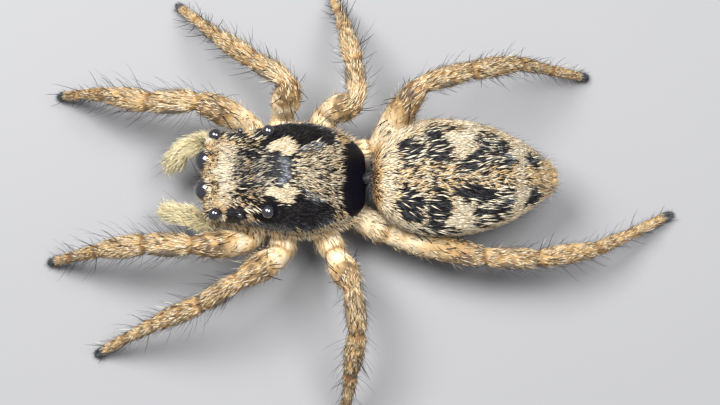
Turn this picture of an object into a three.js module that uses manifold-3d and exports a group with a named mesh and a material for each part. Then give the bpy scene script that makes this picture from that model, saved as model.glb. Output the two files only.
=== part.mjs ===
// A jumping spider at life size, standing on the tips of its eight legs.
// Millimetres, +Z up. The head points towards -X and its left side towards -Y, and the floor is z = 0.
// Every sub-part is one closed solid. Neighbours are parted by a cut GAP wide.
import * as THREE from "three";
import { mergeVertices } from "three/addons/utils/BufferGeometryUtils.js";
import Module from "manifold-3d";

const wasm = await Module();
wasm.setup();

const { PI, abs, asin, cos, hypot, max, min, sign, sin } = Math;
const radians = THREE.MathUtils.degToRad;
const at = (x, y, z) => new THREE.Vector3(x, y, z);

// ---- driving dimensions ----
const GAP = 0.03; // between neighbouring solids
const HEAD_ROLL = radians(-5); // the fore body leans over, so that its left flank shows from above
const ROLL_HEIGHT = 1.05; // height of the axis that it leans about

const CARAPACE = { front: -2.12, length: 2.2, rim: 0.84, belly: 0.07 };
// share of the length, half width, height of the back above the rim
const CARAPACE_STATIONS = [
  [0.0, 0.6, 0.47],
  [0.15, 0.64, 0.54],
  [0.4, 0.73, 0.67],
  [0.55, 0.8, 0.66],
  [0.72, 0.77, 0.54],
  [0.88, 0.65, 0.32],
  [1.0, 0.52, 0.12],
];
const ABDOMEN = {
  front: 0.17,
  length: 2.42,
  halfWidth: 0.82,
  halfHeight: 0.6,
  height: 0.98,
  tipDrop: 0.1,
};
const EYES = {
  // name: distance in front of the head's frame origin, out from the middle, height, radius
  front_middle: { x: -2.065, y: 0.2, z: 1.13, radius: 0.172 },
  front_side: { x: -1.965, y: 0.545, z: 1.17, radius: 0.09 },
  small: { x: -1.62, y: 0.585, z: 1.29, radius: 0.035 },
  rear: { x: -1.24, y: 0.555, z: 1.37, radius: 0.088 },
};
const CHELICERA = { x: -1.98, y: 0.165, top: 0.93, bottom: 0.4, halfWidth: 0.145, halfDepth: 0.15 };
const STERNUM = { front: -1.52, rear: -0.2, halfWidth: 0.33, bottom: 0.42, top: 0.84 };
const MOUTH = { front: -1.93, halfWidth: 0.28, bottom: 0.44, top: 0.8 };
const PEDICEL = { front: 0.0, rear: 0.26, radius: 0.13, height: 0.86 };
const SPINNERETS = { base: 0.15, tube: 0.06, inset: 0.1, length: 0.2 };

// Leg lengths by pair, from the coxa's end outwards.
const LEG_LENGTHS = {
  1: { femur: 0.92, patella: 0.65, tibia: 0.74, metatarsus: 0.48, tarsus: 0.42 },
  2: { femur: 0.88, patella: 0.64, tibia: 0.77, metatarsus: 0.53, tarsus: 0.52 },
  3: { femur: 0.88, patella: 0.64, tibia: 0.63, metatarsus: 0.51, tarsus: 0.45 },
  4: { femur: 1.36, patella: 0.74, tibia: 0.84, metatarsus: 0.6, tarsus: 0.64 },
};
// Each leg's stance: where its coxa starts and ends, then the headings of femur, patella, tibia, metatarsus
// and tarsus (degrees from +X) and how far the first four rise or fall. The tarsus falls to the floor.
const STANCES = {
  leg_1_right: {
    pair: 1, root: [-1.36, 0.3], hip: [-1.5, 0.8],
    heading: [161, 182, 166, 170, 176],
    rise: [35, -9, -25, -48],
  },
  leg_1_left: {
    pair: 1, root: [-1.36, -0.3], hip: [-1.5, -0.84],
    heading: [188, 176, 185, 187, 187],
    rise: [33, -13, -22, -43],
  },
  leg_2_right: {
    pair: 2, root: [-1.02, 0.33], hip: [-1.06, 0.92],
    heading: [70, 147, 142, 136, 136],
    rise: [66, -20, -32, -44],
  },
  leg_2_left: {
    pair: 2, root: [-1.02, -0.33], hip: [-1.06, -1.0],
    heading: [217, 210, 201, 202, 204],
    rise: [39, -16, -23, -36],
  },
  leg_3_right: {
    pair: 3, root: [-0.68, 0.33], hip: [-0.45, 0.97],
    heading: [-2, 95, 103, 106, 108],
    rise: [61, -22, -33, -50],
  },
  leg_3_left: {
    pair: 3, root: [-0.68, -0.33], hip: [-0.33, -1.02],
    heading: [-65, -84, -100, -99, -102],
    rise: [51, -18, -34, -44],
  },
  leg_4_right: {
    pair: 4, root: [-0.34, 0.29], hip: [0.22, 0.44],
    heading: [52, 18, 14, -3, -4],
    rise: [45, -19, -31, -44],
  },
  leg_4_left: {
    pair: 4, root: [-0.34, -0.29], hip: [0.38, -0.72],
    heading: [-15, -1, 11, 26, 28],
    rise: [8, -6, -14, -22],
  },
};
const HIP_HEIGHT = 0.6;
const ROOT_HEIGHT = 0.6;
const FOOT_FLAT = 0.035; // how deep the floor cuts into the end of the foot
// Half thicknesses, out to the tips of the coat. The narrow places are the joints.
const LEG_RADII = {
  root: 0.17,
  hip: 0.22,
  femur: 0.27,
  knee: 0.24,
  patella: 0.26,
  joint: 0.235,
  tibia: 0.255,
  foot: 0.24,
};
const LEG_CREST = 0.1; // how much higher the bristles stand on top of the knee and what follows it
const FOOT_END = 0.15; // half thickness of the foot at its end
const KNEE_BEND = 0.3; // length of leg that rounds each side of the knee
const JOINT_BEND = 0.12; // the same at the other joints
const LEG_SIDES = 9;
const LEG_STEPS = { coxa: 2, femur: 6, patella: 4, tibia: 4, foot: 5 };

const PALP = {
  right: [[-1.72, 0.36, 0.56], [-2.04, 0.54, 0.62], [-2.36, 0.45, 0.78], [-2.6, 0.2, 0.52]],
  left: [[-1.72, -0.38, 0.56], [-2.06, -0.56, 0.62], [-2.4, -0.48, 0.78], [-2.68, -0.4, 0.5]],
};
const PALP_RADII = { root: 0.19, middle: 0.23, tip: 0.15 };
const PALP_BEND = 0.18;

// ---- shared shapes ----

/** A closed form: a cylinder whose points shape(along, angle from the top, 1 on the wall) puts in place. */
function form(sides, steps, shape) {
  const made = new THREE.CylinderGeometry(1, 1, 1, sides, steps);
  const points = made.attributes.position;
  for (let i = 0; i < points.count; i++) {
    const [x, y, z] = [points.getX(i), points.getY(i), points.getZ(i)];
    const placed = shape(0.5 - y, Math.atan2(x, z), min(1, hypot(x, z)));
    points.setXYZ(i, placed.x, placed.y, placed.z);
  }
  return bare(made);
}

/** The geometry with positions alone and its shared points merged. */
function bare(geometry) {
  geometry.deleteAttribute("normal");
  geometry.deleteAttribute("uv");
  return mergeVertices(geometry, 1e-5);
}

/** A smooth value through [place, value] pairs. */
function profile(pairs) {
  const curve = new THREE.SplineCurve(pairs.map(([place, value]) => new THREE.Vector2(place, value)));
  const points = curve.getPoints(120);
  return (place) => {
    const next = points.findIndex((p) => p.x >= place);
    if (next <= 0) return points[next === 0 ? 0 : points.length - 1].y;
    const [a, b] = [points[next - 1], points[next]];
    return THREE.MathUtils.mapLinear(place, a.x, b.x, a.y, b.y);
  };
}

/** A rounded square's coordinate: power 1 is a circle, smaller is squarer. */
const squared = (value, power) => sign(value) * abs(value) ** power;

function solidOf(geometry, matrix) {
  const placed = geometry.clone().applyMatrix4(matrix);
  return new wasm.Manifold(
    new wasm.Mesh({
      numProp: 3,
      vertProperties: new Float32Array(placed.attributes.position.array),
      triVerts: new Uint32Array(placed.index.array),
    }),
  );
}

function geometryOf(solid) {
  const { vertProperties, triVerts } = solid.getMesh();
  return new THREE.BufferGeometry()
    .setAttribute("position", new THREE.BufferAttribute(vertProperties, 3))
    .setIndex(new THREE.BufferAttribute(triVerts, 1));
}

/** Cuts away from a placed mesh the room that each placed cutter takes. */
function carve(mesh, cutters) {
  const toMesh = mesh.matrixWorld.clone().invert();
  let left = solidOf(mesh.geometry, new THREE.Matrix4());
  for (const cutter of cutters) {
    left = left.subtract(solidOf(cutter.geometry, toMesh.clone().multiply(cutter.matrixWorld)));
  }
  const largest = left.decompose().sort((a, b) => b.volume() - a.volume())[0];
  mesh.geometry = geometryOf(largest);
}

// ---- materials ----
const paint = (color, roughness) => new THREE.MeshStandardMaterial({ color, roughness, metalness: 0 });
const MATERIALS = {
  carapace: paint(0x2b2622, 0.55),
  abdomen: paint(0x8c7456, 0.7),
  coxa: paint(0xcaa878, 0.6),
  femur: paint(0xc8a06a, 0.6),
  patella: paint(0xb87f3e, 0.6),
  tibia: paint(0xc08c48, 0.6),
  foot: paint(0xc9974f, 0.6),
  palp: paint(0xd9c77a, 0.7),
  sternum: paint(0x4a3a2a, 0.55),
  jaw: paint(0x3a2a20, 0.4),
  spinneret: paint(0xa06a35, 0.7),
  eye: paint(0x08080c, 0.08),
};

function node(name, geometry, material) {
  const mesh = new THREE.Mesh(geometry, material);
  mesh.name = name;
  return mesh;
}

// ---- carapace: head and thorax in one shell, flat fronted, with its highest point behind the rear eyes ----
const carapaceWidth = profile(CARAPACE_STATIONS.map(([place, width]) => [place, width]));
const carapaceRise = profile(CARAPACE_STATIONS.map(([place, , rise]) => [place, rise]));

function carapaceForm(grow) {
  // an end that starts at the least share of its size and is rounded over the edge's share of the length
  const end = (t, edge, least) => least + (1 - least) * Math.sqrt(1 - (1 - min(1, t / edge)) ** 2);
  return form(24, 14, (along, angle, wall) => {
    const t = (along + (1 - cos(PI * along)) / 2) / 2;
    const size = wall * end(t, 0.05, 0.86) * end(max(0, 1 - t), 0.16, 0.55);
    const power = 0.72 + 0.22 * t;
    const width = carapaceWidth(t) * size + grow * wall;
    const rise = (cos(angle) > 0 ? carapaceRise(t) : CARAPACE.belly) * size + grow * wall;
    const x = CARAPACE.front + CARAPACE.length * t + grow * (2 * t - 1);
    return at(x, width * squared(sin(angle), power), CARAPACE.rim + rise * squared(cos(angle), power));
  });
}

// ---- abdomen: an egg, widest before its middle and pointed at the spinnerets ----
function abdomenForm(grow) {
  const { front, length, halfWidth, halfHeight, height, tipDrop } = ABDOMEN;
  const [fore, aft] = [0.38, 0.62]; // powers of the outline's two ends
  const peak = fore / (fore + aft);
  const size = (t) => (t / peak) ** fore * ((1 - t) / (1 - peak)) ** aft;
  const [first, last] = [0.004, 0.975]; // where the small flats at the ends are
  return form(24, 12, (along, angle, wall) => {
    const t = THREE.MathUtils.lerp(first, last, (1 - cos(PI * along)) / 2);
    const x = front + (length * (t - first)) / (last - first) + grow * (2 * along - 1);
    const y = (halfWidth * size(t) + grow) * wall * sin(angle);
    const z = height - tipDrop * t * t + (halfHeight * size(t) ** 0.9 + grow) * wall * cos(angle);
    return at(x, y, z);
  });
}

// ---- limbs: tubes along a jointed path ----

/** The path through the joints, rounded at each by the given length. */
function limbPath(joints, bends) {
  const path = new THREE.CurvePath();
  let from = joints[0];
  joints.slice(1, -1).forEach((joint, i) => {
    const before = joint.clone().add(joints[i].clone().sub(joint).setLength(bends[i]));
    const after = joint.clone().add(joints[i + 2].clone().sub(joint).setLength(bends[i]));
    path.add(new THREE.LineCurve3(from, before));
    path.add(new THREE.QuadraticBezierCurve3(before, joint, after));
    from = after;
  });
  path.add(new THREE.LineCurve3(from, joints.at(-1)));
  return path;
}

/** Distances along the path of its start, the middle of each joint's bend, and its end. */
function jointPlaces(path) {
  const ends = path.getCurveLengths();
  const places = [0];
  for (let i = 1; i < ends.length - 1; i += 2) places.push((ends[i - 1] + ends[i]) / 2);
  places.push(ends.at(-1));
  return places;
}

/** A closed length of limb along its path, as thick as radius(place) says and crest(place) higher on top. */
function limbForm(path, from, to, radius, crest, across, steps) {
  const length = path.getLength();
  return form(LEG_SIDES, steps, (along, angle, wall) => {
    const place = THREE.MathUtils.lerp(from, to, along);
    const share = THREE.MathUtils.clamp(place / length, 0, 1);
    const middle = path.getPointAt(share);
    const ahead = path.getTangentAt(share);
    const up = ahead.clone().cross(across).normalize();
    const side = up.clone().cross(ahead);
    const size = radius(place) * wall;
    const height = size * cos(angle) + crest(place) * wall * max(0, cos(angle));
    return middle.addScaledVector(side, size * sin(angle)).addScaledVector(up, height);
  });
}

/** A direction from a heading and a rise, in degrees. */
function direction(heading, rise) {
  const [h, r] = [radians(heading), radians(rise)];
  return at(cos(r) * cos(h), cos(r) * sin(h), sin(r));
}

/** One leg's nodes. Its foot is metatarsus and tarsus in one. */
function legNodes(name, stance) {
  const lengths = Object.values(LEG_LENGTHS[stance.pair]);
  const joints = [at(...stance.root, ROOT_HEIGHT), at(...stance.hip, HIP_HEIGHT)];
  lengths.slice(0, 4).forEach((length, i) => {
    joints.push(joints.at(-1).clone().addScaledVector(direction(stance.heading[i], stance.rise[i]), length));
  });
  const ankle = joints.at(-1);
  let fall = PI / 4;
  for (let pass = 0; pass < 4; pass++) {
    const tipHeight = FOOT_END * cos(fall) - FOOT_FLAT;
    fall = asin(min(1, (ankle.z - tipHeight) / lengths[4]));
  }
  const down = -THREE.MathUtils.radToDeg(fall);
  joints.push(ankle.clone().addScaledVector(direction(stance.heading[4], down), lengths[4]));

  const path = limbPath(joints, [JOINT_BEND, KNEE_BEND, JOINT_BEND, JOINT_BEND, JOINT_BEND]);
  const [root, hip, knee, patellaEnd, tibiaEnd, metatarsusEnd, tip] = jointPlaces(path);
  const r = LEG_RADII;
  const thickness = profile([
    [root, r.root],
    [hip, r.hip],
    [hip + 0.4 * (knee - hip), r.femur],
    [knee, r.knee],
    [(knee + patellaEnd) / 2, r.patella],
    [patellaEnd, r.joint],
    [(patellaEnd + tibiaEnd) / 2, r.tibia],
    [tibiaEnd, r.joint],
    [metatarsusEnd, r.joint],
    [tip - FOOT_END, r.foot],
    [tip, FOOT_END],
  ]);
  const crest = profile([
    [root, 0],
    [hip, 0],
    [knee - KNEE_BEND, LEG_CREST],
    [patellaEnd, LEG_CREST],
    [tibiaEnd, LEG_CREST / 2],
    [tip, 0],
  ]);
  const heading = radians(stance.heading[1]);
  const across = at(-sin(heading), cos(heading), 0);
  const cut = GAP / 2;
  const piece = (part, from, to) => {
    const shape = limbForm(path, from, to, thickness, crest, across, LEG_STEPS[part]);
    return node(`${name}_${part}`, shape, MATERIALS[part]);
  };
  return [
    piece("coxa", root, hip - cut),
    piece("femur", hip + cut, knee - cut),
    piece("patella", knee + cut, patellaEnd - cut),
    piece("tibia", patellaEnd + cut, tibiaEnd - cut),
    piece("foot", tibiaEnd + cut, tip),
  ];
}

/** One palp's nodes: the limb out from the mouth, and the tarsus that hangs in front of the jaws. */
function palpNodes(side) {
  const path = limbPath(PALP[side].map((p) => at(...p)), [PALP_BEND, PALP_BEND]);
  const [root, , elbow, tip] = jointPlaces(path);
  const r = PALP_RADII;
  const thickness = profile([
    [root, r.root],
    [elbow - 0.3, r.middle],
    [elbow, 0.95 * r.middle],
    [tip - 0.12, r.middle],
    [tip, r.tip],
  ]);
  const crest = () => 0;
  const across = at(0, side === "right" ? -1 : 1, 0);
  const cut = GAP / 2;
  const piece = (part, from, to, steps) =>
    node(`palp_${side}_${part}`, limbForm(path, from, to, thickness, crest, across, steps), MATERIALS.palp);
  return [piece("limb", root, elbow - cut, 6), piece("tarsus", elbow + cut, tip, 5)];
}

// ---- small parts of the fore body ----

/** A jaw: an upright barrel that leans forward a little and narrows to its fang. */
function cheliceraForm(grow) {
  const { x, y, top, bottom, halfWidth, halfDepth } = CHELICERA;
  return form(12, 6, (along, angle, wall) => {
    const size = (0.84 + 0.16 * sin(PI * min(1, along * 1.2)) - 0.3 * along ** 3) * wall;
    const lean = 0.05 * sin(PI * along);
    return at(
      x - lean - (halfDepth * size + grow * wall) * sin(angle),
      y + (halfWidth * size + grow * wall) * cos(angle),
      THREE.MathUtils.lerp(top + grow, bottom - grow, along),
    );
  });
}

/** The breast plate, with the block under the shell that the coxae meet: long, and narrower at both ends. */
function sternumForm(grow) {
  const { front, rear, halfWidth, bottom, top } = STERNUM;
  return form(12, 6, (along, angle, wall) => {
    const size = (0.66 + 0.34 * sin(PI * along) ** 0.7) * wall;
    const middle = (top + bottom) / 2;
    return at(
      THREE.MathUtils.lerp(front - grow, rear + grow, along),
      (halfWidth * size + grow * wall) * squared(sin(angle), 0.6),
      middle + (((top - bottom) / 2) * size + grow * wall) * squared(cos(angle), 0.6),
    );
  });
}

/** The mouth parts: lip and maxillae as one block between sternum and jaws. */
function mouthForm() {
  const { front, halfWidth, bottom, top } = MOUTH;
  return form(8, 3, (along, angle, wall) => {
    const size = (0.8 + 0.2 * sin(PI * along)) * wall;
    return at(
      THREE.MathUtils.lerp(front, STERNUM.front - GAP, along),
      halfWidth * size * squared(sin(angle), 0.6),
      (top + bottom) / 2 + ((top - bottom) / 2) * size * squared(cos(angle), 0.6),
    );
  });
}

function pedicelForm() {
  const { front, rear, radius, height } = PEDICEL;
  return form(10, 2, (along, angle, wall) => {
    const size = radius * wall;
    return at(THREE.MathUtils.lerp(front, rear, along), size * sin(angle), height + size * cos(angle));
  });
}

/** Three pairs of spinning tubes on one base at the end of the abdomen. */
function spinneretsForm() {
  const { base, tube, inset, length } = SPINNERETS;
  const start = ABDOMEN.front + ABDOMEN.length - inset;
  const height = ABDOMEN.height - ABDOMEN.tipDrop;
  const still = new THREE.Matrix4();
  const stub = form(12, 3, (along, angle, wall) => {
    const size = base * (1 - 0.25 * along) * wall;
    return at(start + (inset + 0.04) * along, size * sin(angle), height + size * cos(angle));
  });
  let whole = solidOf(stub, still);
  for (const turn of [0, 1, 2, 3, 4, 5].map((i) => ((i + 0.5) * PI) / 3)) {
    const spread = (along) => base * (0.55 + 0.1 * along);
    const spinner = form(6, 3, (along, angle, wall) => {
      const size = tube * (1 - 0.5 * along ** 2) * wall;
      const y = spread(along) * sin(turn) + size * sin(angle);
      return at(start + length * along, y, height + spread(along) * cos(turn) + size * cos(angle));
    });
    whole = whole.add(solidOf(spinner, still));
  }
  return geometryOf(whole);
}

// ---- assembly ----
const spider = new THREE.Group();
const body = new THREE.Group();
spider.add(body);

const head = new THREE.Group(); // what leans with the fore body
head.position.set(0, 0, ROLL_HEIGHT);
head.rotation.x = HEAD_ROLL;
body.add(head);
const inHead = new THREE.Group();
inHead.position.set(0, 0, -ROLL_HEIGHT);
head.add(inHead);

const carapace = node("carapace", carapaceForm(0), MATERIALS.carapace);
inHead.add(carapace);
const grown = (geometry, parent) => {
  const mesh = new THREE.Mesh(geometry);
  parent.add(mesh);
  mesh.updateWorldMatrix(true, false);
  parent.remove(mesh);
  return mesh;
};

const sockets = [];
for (const [name, eye] of Object.entries(EYES)) {
  for (const side of [1, -1]) {
    const detail = eye.radius > 0.15 ? [12, 8] : eye.radius > 0.05 ? [10, 6] : [8, 5];
    const ball = bare(new THREE.SphereGeometry(eye.radius, ...detail));
    const mesh = node(`eye_${name}_${side > 0 ? "right" : "left"}`, ball, MATERIALS.eye);
    mesh.position.set(eye.x, side * eye.y, eye.z);
    inHead.add(mesh);
    const socket = new THREE.Mesh(bare(new THREE.SphereGeometry(eye.radius + GAP / 2, ...detail)));
    socket.position.copy(mesh.position);
    inHead.add(socket);
    socket.updateWorldMatrix(true, false);
    inHead.remove(socket);
    sockets.push(socket);
  }
}

const chelicerae = [1, -1].map((side) => {
  const geometry = cheliceraForm(0);
  geometry.translate(0, side > 0 ? 0 : -2 * CHELICERA.y, 0);
  const mesh = node(`chelicera_${side > 0 ? "right" : "left"}`, geometry, MATERIALS.jaw);
  inHead.add(mesh);
  return mesh;
});
const sternum = node("sternum", sternumForm(0), MATERIALS.sternum);
const mouth = node("mouthparts", mouthForm(), MATERIALS.sternum);
const pedicel = node("pedicel", pedicelForm(), MATERIALS.spinneret);
const abdomen = node("abdomen", abdomenForm(0), MATERIALS.abdomen);
const spinnerets = node("spinnerets", spinneretsForm(), MATERIALS.spinneret);
body.add(sternum, mouth, pedicel, abdomen, spinnerets);

const palps = ["right", "left"].flatMap(palpNodes);
const legs = Object.entries(STANCES).flatMap(([name, stance]) => legNodes(name, stance));
body.add(...palps, ...legs);
spider.updateMatrixWorld(true);

// ---- cuts between neighbours ----
const shellRoom = grown(carapaceForm(GAP), inHead);
const abdomenRoom = grown(abdomenForm(GAP), body);
const sternumRoom = grown(sternumForm(GAP), body);
const jawShifts = [0, -2 * CHELICERA.y];
const jawRooms = jawShifts.map((shift) => grown(cheliceraForm(GAP).translate(0, shift, 0), inHead));
const floor = grown(bare(new THREE.BoxGeometry(20, 20, 1)).translate(0, 0, -0.5), body);

carve(carapace, sockets);
chelicerae.forEach((jaw) => carve(jaw, [shellRoom]));
carve(sternum, [shellRoom]);
carve(mouth, [shellRoom, ...jawRooms]);
carve(pedicel, [shellRoom, abdomenRoom]);
carve(spinnerets, [abdomenRoom]);
palps.forEach((palp) => carve(palp, [shellRoom, ...jawRooms]));
for (const part of legs) {
  if (part.name.endsWith("coxa")) carve(part, [sternumRoom, shellRoom]);
  if (part.name.endsWith("femur")) carve(part, [shellRoom, abdomenRoom]);
  if (part.name.endsWith("foot")) carve(part, [floor]);
}

// The origin is the middle of the footprint, on the floor.
const reach = new THREE.Box3().setFromObject(spider);
body.position.set(-(reach.min.x + reach.max.x) / 2, -(reach.min.y + reach.max.y) / 2, -reach.min.z);
spider.updateMatrixWorld(true);

export default spider;
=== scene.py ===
"""A jumping spider at life size: skin, eyes, jaws, claws and its coat of scales, hairs and bristles.

Forms are modelled in millimetres, with the head towards -X.
When finished they are set down in metres on the frame.
"""

import math

import bpy
import numpy as np
from mathutils import Matrix, Vector


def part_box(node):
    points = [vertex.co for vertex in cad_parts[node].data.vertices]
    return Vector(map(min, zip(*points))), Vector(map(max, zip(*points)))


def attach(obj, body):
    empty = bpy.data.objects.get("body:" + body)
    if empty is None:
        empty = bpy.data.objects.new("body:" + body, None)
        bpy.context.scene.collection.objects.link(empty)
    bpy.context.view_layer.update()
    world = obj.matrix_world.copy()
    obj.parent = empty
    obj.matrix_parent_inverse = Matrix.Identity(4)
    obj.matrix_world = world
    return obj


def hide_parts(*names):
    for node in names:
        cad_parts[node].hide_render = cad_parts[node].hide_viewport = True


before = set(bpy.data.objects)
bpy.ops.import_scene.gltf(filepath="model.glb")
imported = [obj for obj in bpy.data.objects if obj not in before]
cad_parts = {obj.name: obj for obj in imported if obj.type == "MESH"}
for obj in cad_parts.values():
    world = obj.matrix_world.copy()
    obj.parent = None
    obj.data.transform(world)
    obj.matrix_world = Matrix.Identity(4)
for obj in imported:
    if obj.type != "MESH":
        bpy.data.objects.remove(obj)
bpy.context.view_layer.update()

# ---- driving sizes, in millimetres and degrees ----
MM = 0.001
SKIN_DEPTH = 0.02  # how far the skin lies inside the solids' coat on the body
CARAPACE_FRONT, CARAPACE_LENGTH, RIM_HEIGHT, BELLY_DROP = -2.12, 2.2, 0.84, 0.07
CARAPACE_SHARES = [0.0, 0.15, 0.4, 0.55, 0.72, 0.88, 1.0]
CARAPACE_WIDTHS = [0.6, 0.64, 0.73, 0.8, 0.77, 0.65, 0.52]
CARAPACE_RISES = [0.47, 0.54, 0.67, 0.66, 0.54, 0.32, 0.12]
HEAD_LEAN = math.radians(-5)
LEAN_HEIGHT = 1.05
ABDOMEN_FRONT, ABDOMEN_LENGTH, ABDOMEN_WIDTH, ABDOMEN_HEIGHT = 0.17, 2.42, 0.82, 0.6
ABDOMEN_MIDDLE, TIP_DROP = 0.98, 0.1
ABDOMEN_ROLL = math.radians(8)  # its markings are turned this far to the left side
EYES = {
    "front_middle": (-2.065, 0.2, 1.13, 0.172),
    "front_side": (-1.965, 0.545, 1.17, 0.09),
    "small": (-1.62, 0.585, 1.29, 0.035),
    "rear": (-1.24, 0.555, 1.37, 0.088),
}
GAZES = {"front_middle": (-1, 0, 0), "front_side": (-0.8, 0.6, 0.15)}
SIDE_GAZE = (0.0, 0.85, 0.5)
LARGE_EYE = 0.15  # the least radius of the two large ones
EYE_BULGE = 0.08  # as a share of the radius
# lengths of femur, patella, tibia, metatarsus and tarsus by pair
LEG_LENGTHS = {
    1: (0.92, 0.65, 0.74, 0.48, 0.44),
    2: (0.88, 0.64, 0.77, 0.53, 0.53),
    3: (0.88, 0.64, 0.63, 0.51, 0.47),
    4: (1.36, 0.74, 0.84, 0.60, 0.66),
}
# pair, coxa root, hip, headings of the five lengths and the rises of the first four
STANCES = {
    "leg_1_right": (1, (-1.36, 0.3), (-1.5, 0.8), (161, 182, 166, 170, 176), (35, -9, -25, -48)),
    "leg_1_left": (1, (-1.36, -0.3), (-1.5, -0.84), (188, 176, 185, 187, 187), (33, -13, -22, -43)),
    "leg_2_right": (2, (-1.02, 0.33), (-1.06, 0.92), (70, 147, 142, 136, 136), (66, -20, -32, -44)),
    "leg_2_left": (2, (-1.02, -0.33), (-1.06, -1.0), (217, 210, 201, 202, 204), (39, -16, -23, -36)),
    "leg_3_right": (3, (-0.68, 0.33), (-0.45, 0.97), (-2, 95, 103, 106, 108), (61, -22, -33, -50)),
    "leg_3_left": (3, (-0.68, -0.33), (-0.33, -1.02), (-65, -84, -100, -99, -102), (51, -18, -34, -44)),
    "leg_4_right": (4, (-0.34, 0.29), (0.22, 0.44), (52, 18, 14, -3, -4), (45, -19, -31, -44)),
    "leg_4_left": (4, (-0.34, -0.29), (0.38, -0.72), (-15, -1, 11, 26, 28), (8, -6, -14, -22)),
}
HIP_HEIGHT = 0.6
FIRST_LEG_GIRTH = 1.13  # against the other legs, from the knee to the tibia
BRISTLE_LENGTHS = {1: 0.34, 2: 0.27, 3: 0.26, 4: 0.22}  # by pair
CLAW_HEIGHT = 0.05  # of the middle of the foot's end
FLOOR_CLEARANCE = 0.004  # hairs that meet the floor lie on it
ROOT_DEPTH = 0.004  # of a scale or hair in the skin
PALPS = {
    "right": ((-1.72, 0.36, 0.6), (-2.04, 0.54, 0.62), (-2.36, 0.45, 0.78), (-2.58, 0.24, 0.54)),
    "left": ((-1.72, -0.38, 0.6), (-2.06, -0.56, 0.62), (-2.4, -0.48, 0.78), (-2.64, -0.41, 0.54)),
}
JAW_PLACE, JAW_OUT, JAW_TOP, JAW_LENGTH = -1.98, 0.165, 0.92, 0.5  # out is from the middle
JAW_RADII = [0.11, 0.125, 0.132, 0.136, 0.138, 0.138, 0.136, 0.13, 0.122, 0.11, 0.09, 0.05]
# each place along a fang, how far out it is as a share of the jaw, its height and its radius
FANG = [
    (-2.0, 1.0, 0.45, 0.036),
    (-2.0, 0.9, 0.41, 0.034),
    (-1.98, 0.75, 0.38, 0.026),
    (-1.94, 0.6, 0.365, 0.015),
    (-1.9, 0.5, 0.36, 0.003),
]
CLAW_LENGTH, CLAW_RADII = 0.085, [0.009, 0.009, 0.008, 0.007, 0.0055, 0.004, 0.0015]
SIDES = (("right", 1), ("left", -1))
UPWARD = np.array([0.0, 0.0, 1.0])

abdomen_low, abdomen_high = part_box("abdomen")
SET_DOWN = Vector((abdomen_low.x - ABDOMEN_FRONT * MM, (abdomen_low.y + abdomen_high.y) / 2, 0))


# ---- hand tools ----


def deselect():
    if bpy.context.object and bpy.context.object.mode != "OBJECT":
        bpy.ops.object.mode_set(mode="OBJECT")
    bpy.ops.object.select_all(action="DESELECT")


def pick(*pieces):
    """Selects these pieces, with the first active."""
    deselect()
    for piece in pieces:
        piece.select_set(True)
    bpy.context.view_layer.objects.active = pieces[0]


def named(name):
    piece = bpy.context.object
    piece.name = piece.data.name = name
    return piece


def finish_modifiers(piece):
    pick(piece)
    for modifier in list(piece.modifiers):
        bpy.ops.object.modifier_apply(modifier=modifier.name)


def apply_place(piece):
    pick(piece)
    bpy.ops.object.transform_apply(location=True, rotation=True, scale=True)


def subdivide(piece, levels):
    smooth = piece.modifiers.new("Subdivision", "SUBSURF")
    smooth.levels = smooth.render_levels = levels
    finish_modifiers(piece)


def clean(piece):
    """Merges doubled points and turns every face outwards."""
    pick(piece)
    bpy.ops.object.mode_set(mode="EDIT")
    bpy.ops.mesh.select_all(action="SELECT")
    bpy.ops.mesh.remove_doubles(threshold=0.0005)
    bpy.ops.mesh.normals_make_consistent(inside=False)
    bpy.ops.object.mode_set(mode="OBJECT")
    bpy.ops.object.shade_smooth()


def ringed(name, stations, sides=40):
    """A closed form along X: a straight tube with a ring at each station, then each ring brought to its size.

    A station is (place, half width, half height, height of the middle).
    """
    places, widths, heights, middles = np.array(stations).T
    form = tube(name, [(place, 0, 0) for place in places], [1] * len(places), (sides - 4) // 2)

    def sized(points):
        ring = np.abs(points[:, :1] - places).argmin(axis=1)
        x, y, z = points.T
        return np.stack([x, y * widths[ring], z * heights[ring] + middles[ring]], axis=1)

    reshape(form, sized)
    return form


def tube(name, path, radii, around=4, levels=0):
    """A closed tube by hand: a curve through the path's points, as thick as radii say, made a mesh."""
    deselect()
    bpy.ops.curve.primitive_nurbs_path_add()
    form = named(name)
    curve = form.data
    curve.splines.clear()
    spline = curve.splines.new("POLY")
    spline.points.add(len(path) - 1)
    for point, place, radius in zip(spline.points, path, radii):
        point.co = (*place, 1)
        point.radius = radius
    curve.dimensions = "3D"
    curve.twist_mode = "MINIMUM"
    curve.bevel_depth = 1
    curve.bevel_resolution = around
    curve.use_fill_caps = True
    apply_place(form)
    bpy.ops.object.convert(target="MESH")
    form = bpy.context.object
    clean(form)
    if levels:
        subdivide(form, levels)
    return form


def numbers_of(piece, key):
    """Three numbers for every point of the piece, such as its place or its normal."""
    values = np.empty(len(piece.data.vertices) * 3)
    piece.data.vertices.foreach_get(key, values)
    return values.reshape(-1, 3)


def points_of(piece):
    return numbers_of(piece, "co")


def normals_of(piece):
    return numbers_of(piece, "normal")


def reshape(piece, move):
    """Moves a form's points by a function of their places."""
    piece.data.vertices.foreach_set("co", move(points_of(piece)).ravel())
    piece.data.update()


def swell(piece, rise):
    """Moves a form's surface out by a function of its places, or in where that is negative."""
    normals = normals_of(piece)
    reshape(piece, lambda points: points + normals * rise(points)[:, None])


def give(piece, attribute, values):
    """Stores three numbers for every point of the piece."""
    made = piece.data.attributes.new(attribute, "FLOAT_VECTOR", "POINT")
    made.data.foreach_set("vector", np.ascontiguousarray(values, float).ravel())


def unit(vectors):
    return vectors / np.maximum(np.linalg.norm(vectors, axis=-1, keepdims=True), 1e-9)


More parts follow.
